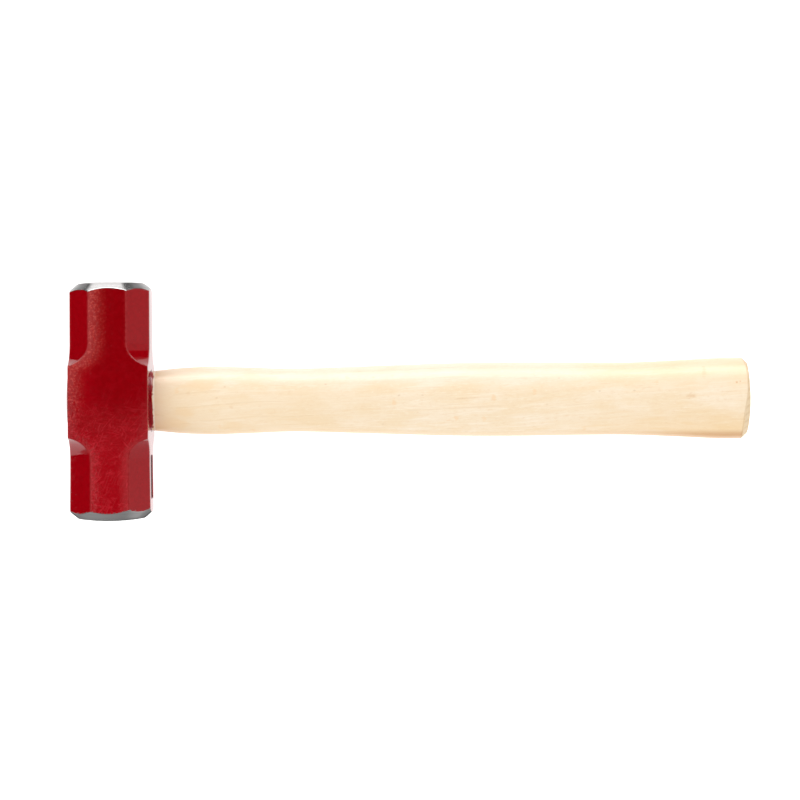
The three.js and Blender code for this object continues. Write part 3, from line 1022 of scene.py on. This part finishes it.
# The board under the hammer, in metres. Its notches keep white out of the gloss of the head's bevels.
NEAR_BOARD = [(-0.28, -0.108), (-0.062, -0.108), (-0.045, -0.0705), (0.75, -0.0705), (0.75, 0.12),
              (0.135, 0.12), (0.037, 0.0995), (0.034, 0.0685), (0.0205, 0.0685), (0.0205, 0.096),
              (-0.0205, 0.0874), (-0.0205, 0.0685), (-0.034, 0.0685), (-0.037, 0.0839), (-0.28, 0.033)]
FLOOR = [(-6, -6), (6, -6), (6, 6), (-6, 6)]
EXCEPT_GLOSSY = ("diffuse", "transmission", "volume_scatter", "shadow")  # the rays that don't make the gloss


def hide(piece, *rays):
    """Hides a piece of the stage from kinds of rays."""
    for ray in rays:
        setattr(piece, f"visible_{ray}", False)


def paper(name, darkest, lightest, glow):
    """Matt white paper that glows."""
    t = new_material(name)
    tone = t.spread(t.noise(t.millimetres(), 60.0), darkest, lightest)
    return t.finish({"Base Color": t.joined(tone, tone, tone), "Roughness": 0.9, "Specular IOR Level": 0.0,
                     "Emission Color": (1, 1, 1, 1), "Emission Strength": glow})


def sheet(name, outline, height, material, *hidden_from):
    mesh = bpy.data.meshes.new(name)
    mesh.from_pydata([(x, y, height) for x, y in outline], [], [tuple(range(len(outline)))])
    made = put(name, mesh, material)
    hide(made, *hidden_from)


def floor():
    """A plain white floor for the camera alone, and under it the boards that the hammer is lit by."""
    board = paper("white_board", 0.34, 0.36, 1.0)
    sheet("near_board", NEAR_BOARD, -0.0005, board, "camera")
    sheet("far_board", FLOOR, -0.0007, board, "camera", "glossy")
    sheet("floor", FLOOR, 0, paper("white_sheet", 0.80, 0.82, 0.8), "glossy", *EXCEPT_GLOSSY)


def dome():
    """An even white dome that lights the hammer, but doesn't show in its gloss."""
    t = Tree(bpy.data.worlds.new("white_dome"))
    _, y, z = t.parts(t.coordinate("Generated"))
    level = t.times(t.linear(y, -1, 1, 1.09, 1.36), t.step(z, 0.86, 0.95, 1.0, 0.7))
    world = t.show(t.add("ShaderNodeBackground", {"Color": (1, 1, 1, 1), "Strength": level}), "World")
    world.cycles_visibility.glossy = False
    bpy.context.scene.world = world


def wall_levels(t):
    """How bright the studio's walls are in each direction from the hammer."""
    x, y, z = t.parts(t.vector("NORMALIZE", t.coordinate("Object")))
    back_light = 6.6

    # Above: a dark gap round the camera, with light to the left of it and a little in front.
    left = t.step(t.math("SUBTRACT", t.times(y, 0.3), x), 0.132, 0.140, 0.0, 0.70)
    aside = t.size(x, -0.104)
    front_level = t.most(t.step(aside, 0.025, 0.06, 0.03, 0.48), t.step(y, -0.024, -0.013, 0.0, 0.33))
    front = t.step(t.math("SUBTRACT", t.times(aside, 0.06), y), 0.0055, 0.0125)
    above = t.most(left, t.times(front, front_level))

    # Around, at middle heights: soft light, with a strong low soft box at the back.
    back_low = t.times(t.step(y, 0.5, 0.8), t.step(z, 0.74, 0.34))
    around = t.choose(back_low, t.step(y, -0.2, 0.6, 0.35, 0.9), back_light)

    # Level with the hammer and below: side walls, a front wall, and the glow of the floor.
    side_wall = t.choose(t.step(x, 0.45, 0.6), t.step(y, -0.26, -0.38, 0.0, 0.29),
                         t.linear(y, 0.07, -0.07, 0.33, 0.65))
    front_wall = t.choose(t.step(x, -0.25, -0.5), t.linear(x, -0.6, 0.4, 0.43, 0.29), 0.37)
    front_wall = t.choose(t.step(x, 0.22, 0.4), front_wall, 0.65)
    wall = t.choose(t.step(y, -0.5, -0.7), side_wall, front_wall)
    low_dark = t.times(t.step(z, 0.015, -0.02), t.step(y, -0.1, 0.1))
    under = t.times(t.step(z, -0.5, -0.56), t.step(y, 0.2, 0.3), 0.36)
    beneath = t.times(t.step(z, -0.6, -0.64), t.step(y, 0.0, 0.02), t.linear(z, -1.0, -0.62, 0.95, 0.3))
    wall = t.most(t.times(wall, t.math("SUBTRACT", 1.0, low_dark)), under, beneath)

    # The back wall, with a soft box a little to the left.
    bearing = t.math("DIVIDE", x, t.most(y, 0.05))
    box = t.times(t.step(bearing, -0.55, -0.43), t.step(bearing, 0.215, 0.165), t.step(y, 0.5, 0.6))
    back_wall = t.times(t.step(y, 0.7, 0.8), t.step(t.size(bearing, -0.15), 0.38, 1.3, 0.14, 0.62))
    wall = t.most(wall, t.choose(box, back_wall, 1.4))
    steep_front = t.times(t.step(z, -0.88, -0.92), t.step(y, -0.03, -0.06), t.step(t.size(x, -0.1), 0.35, 0.2))
    wall = t.choose(steep_front, wall, 0.08)

    over_wall = t.choose(t.step(z, 0.10, 0.3), t.choose(back_low, wall, back_light), around)
    level = t.choose(t.step(z, 0.02, 0.12), wall, over_wall)
    return t.choose(t.step(z, 0.86, 0.95), level, above)


def studio_walls():
    """The studio that shows in the hammer's gloss and lights nothing else."""
    t = new_material("studio_walls")
    material = t.show(t.add("ShaderNodeEmission", {"Color": (1, 1, 1, 1), "Strength": wall_levels(t)}))
    material.cycles.emission_sampling = "NONE"
    mesh = bpy.data.meshes.new("studio_walls")
    ball = bmesh.new()
    bmesh.ops.create_icosphere(ball, subdivisions=4, radius=8)
    ball.to_mesh(mesh)
    ball.free()
    walls = put("studio_walls", mesh, material)
    hide(walls, "camera", *EXCEPT_GLOSSY)


def camera():
    """Straight down onto the upper cheek, with the hammer turned a quarter of a degree in the picture."""
    distance = 1.6865
    half_view = 0.13793  # tangent of half the angle of view
    roll = math.radians(-0.27)
    aim_x, aim_y = 0.16776, -0.00025
    lens = bpy.data.cameras.new("camera")
    lens.sensor_width = 36
    lens.lens = lens.sensor_width / 2 / half_view
    lens.clip_start, lens.clip_end = 0.05, 30
    placed = put("camera", lens)
    placed.location = (aim_x, aim_y, HALF * MM + distance)
    placed.rotation_euler = (0, 0, roll)
    bpy.context.scene.camera = placed


# Assembly

def build():
    camera()
    red = enamel()
    steel = wedge_steel()
    pieces = [
        (hammer_head(red, turned_steel(), shaded_panel_enamel()), "head_enamel", "hammer_head"),
        (wooden_handle(ash_wood()), "handle_wood", "handle"),
        (wooden_wedge(wedge_wood()), "wedge_wood", "wood_wedge"),
        (steel_wedge(-1, 1, steel), "wedge_steel", "steel_wedge_1"),
        (steel_wedge(1, 2, steel), "wedge_steel", "steel_wedge_2"),
        (paint_bead(red), "head_enamel", None),
    ]
    for piece, slot, node in pieces:
        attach(piece, "root")
        if node:
            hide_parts(node)
    floor()
    dome()
    studio_walls()
    bpy.context.scene.view_settings.view_transform = "Standard"


build()
